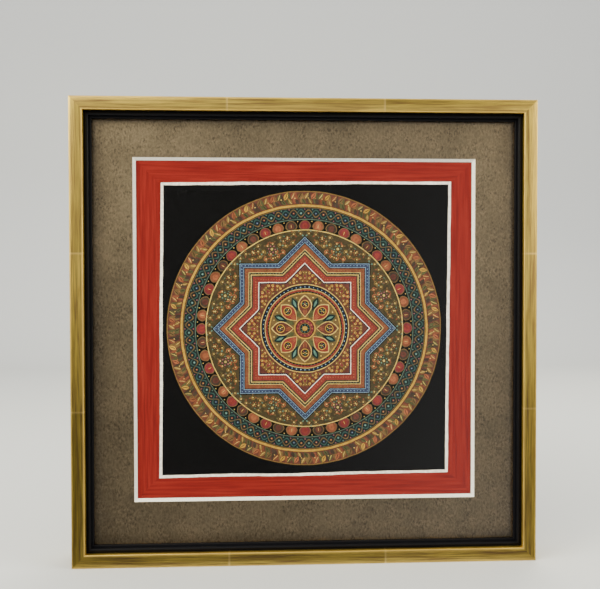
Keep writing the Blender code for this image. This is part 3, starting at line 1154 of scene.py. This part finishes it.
studioSet = {
    "paper": "#AFB0B2",
    "tint": "#FBF8DE",      # slightly warm lamps
    "left": {"place": (-1.52, -0.80, 1.10), "size": (1.1, 1.1), "power": 74.0},
    "right": {"place": (1.66, -0.50, 1.02), "size": (1.1, 1.1), "power": 46.0},
    "high": {"place": (-0.70, -1.27, 1.60), "size": (0.8, 0.6), "power": 15.0},
    "rear": {"place": (0.5, 1.15, 1.5), "size": (1.2, 0.8), "power": 34.0},
    "aim": (0.0, 0.0, 0.2),
    "backdrop": {"turn": 0.7, "wall": 2.1, "front": -3.0, "height": 3.2, "half": 4.0},
    "shown": "#E2E1DB",
    "softLight": 1.75,      # even light from all round that only matt surfaces take up
    # what the gold and the mat's paper mirror, from straight down at 0 to straight up at 1. Each
    # part takes over from those before it between two values of X, and its light has a tint.
    "room": [
        (None, "#FFFFFF", [(0.18, 2.0), (0.22, 0.1), (0.33, 0.03), (0.38, 0.1), (0.44, 0.05), (0.50, 0.65),
            (0.56, 0.7), (0.625, 0.95), (0.68, 0.1), (1.0, 0.15)]),
        ((-0.05, 0.15), "#FFFFFF", [(0.18, 2.0), (0.225, 0.45), (0.29, 0.45), (0.325, 0.03), (0.44, 0.1),
            (0.50, 1.4), (0.56, 1.0), (0.60, 0.2), (1.0, 0.15)]),
        ((-0.28, -0.36), "#FFF7DC", [(0.18, 2.0), (0.22, 0.1), (0.33, 0.0), (0.50, 0.0), (0.56, 0.2),
            (0.62, 1.5), (0.68, 0.1), (1.0, 0.15)]),
        ((0.36, 0.44), "#FFF7DC", [(0.18, 2.0), (0.22, 0.3), (0.29, 0.2), (0.33, 0.0), (0.45, 0.0),
            (0.50, 1.0), (0.56, 2.8), (0.66, 2.8), (0.70, 0.2), (1.0, 0.15)]),
    ],
    "glassDark": 0.015,     # what the glass mirrors, dark on the left
    "glassGlow": 0.27,      # and a soft glow low on the right
    "glowAcross": (0.0, 0.28),
    "glowDown": (0.62, 0.36),
}


def makeBackdrop():
    # floor that turns up into a wall well behind, far enough for the views from the back
    s = studioSet["backdrop"]
    profile = [(s["front"], 0.0)]
    for y, z in arc(s["wall"] - s["turn"], s["turn"], s["turn"], 270, 360, 14):
        profile.append((y, z))
    profile.append((s["wall"], s["height"]))
    points = [(x, y, z) for y, z in profile for x in (-s["half"], s["half"])]
    faces = [(2 * i, 2 * i + 1, 2 * i + 3, 2 * i + 2) for i in range(len(profile) - 1)]
    mesh = bpy.data.meshes.new("backdrop")
    mesh.from_pydata(points, [], faces)
    mesh.shade_smooth()
    material, tree, shader = newMaterial("paleStudioPaper")
    dress(tree, shader, {"Base Color": hexColour(studioSet["paper"]), "Roughness": 0.9})
    mesh.materials.append(material)
    backdrop = bpy.data.objects.new("backdrop", mesh)
    bpy.context.scene.collection.objects.link(backdrop)
    backdrop.visible_glossy = False      # glass and gold mirror the dim room instead of the pale paper


def makeLight(name):
    s = studioSet[name]
    data = bpy.data.lights.new(name, "AREA")
    data.shape = "RECTANGLE"
    data.size, data.size_y = s["size"]
    data.energy = s["power"]
    data.color = hexColour(studioSet["tint"])[:3]
    light = bpy.data.objects.new(name, data)
    light.location = s["place"]
    direction = Vector(studioSet["aim"]) - Vector(s["place"])
    light.rotation_euler = direction.to_track_quat("-Z", "Y").to_euler()
    light.visible_camera = False
    bpy.context.scene.collection.objects.link(light)


def makeWorld():
    # pale where the camera looks past the object, and a simple room for the gold and the mat to mirror
    s = studioSet
    world = bpy.data.worlds.new("studio")
    world.use_nodes = True
    bpy.context.scene.world = world
    tree = world.node_tree
    place = addNode(tree, "TexCoord")
    apart = addNode(tree, "SeparateXYZ", links={0: (place, "Generated")})
    lift = addNode(tree, "MapRange", {"From Min": -1.0, "From Max": 1.0}, {"Value": (apart, "Z")})
    room = None
    for span, tint, heights in s["room"]:
        glow = hexColour(tint)[:3]
        stops = [(height, tuple(value * part for part in glow)) for height, value in heights]
        strip = addNode(tree, "ValToRGB", {"stops": stops}, {"Fac": lift})
        if room:
            low, high = span
            beside = addNode(tree, "MapRange", {"From Min": low, "From Max": high}, {"Value": (apart, "X")})
            room = addNode(tree, "MixRGB", links={"Fac": beside, "Color1": room, "Color2": strip})
        else:
            room = strip
    looking = addNode(tree, "LightPath")
    # only the glass is a sharp mirror, and a dim view of its own keeps its reflection free of grain
    dark, bright = s["glowAcross"]
    toRight = addNode(tree, "MapRange", {"From Min": dark, "From Max": bright}, {"Value": (apart, "X")})
    dark, bright = s["glowDown"]
    toFloor = addNode(tree, "MapRange", {"From Min": dark, "From Max": bright, "To Min": 0.3},
        {"Value": lift})
    glowShare = addNode(tree, "Math", {"operation": "MULTIPLY"}, {0: toRight, 1: toFloor})
    glassView = addNode(tree, "MapRange", {"To Min": s["glassDark"], "To Max": s["glassGlow"]},
        {"Value": glowShare})
    mirrored = addNode(tree, "MixRGB",
        links={"Fac": (looking, "Is Singular Ray"), "Color1": room, "Color2": glassView})
    soft = addNode(tree, "MixRGB", {"Color2": grey(s["softLight"])},
        {"Fac": (looking, "Is Diffuse Ray"), "Color1": mirrored})
    colour = addNode(tree, "MixRGB", {"Color2": hexColour(s["shown"])},
        {"Fac": (looking, "Is Camera Ray"), "Color1": soft})
    tree.links.new(colour.outputs[0], tree.nodes["Background"].inputs["Color"])


makeBackdrop()
for lightName in ("left", "right", "high", "rear"):
    makeLight(lightName)
makeWorld()
print("studio lit")
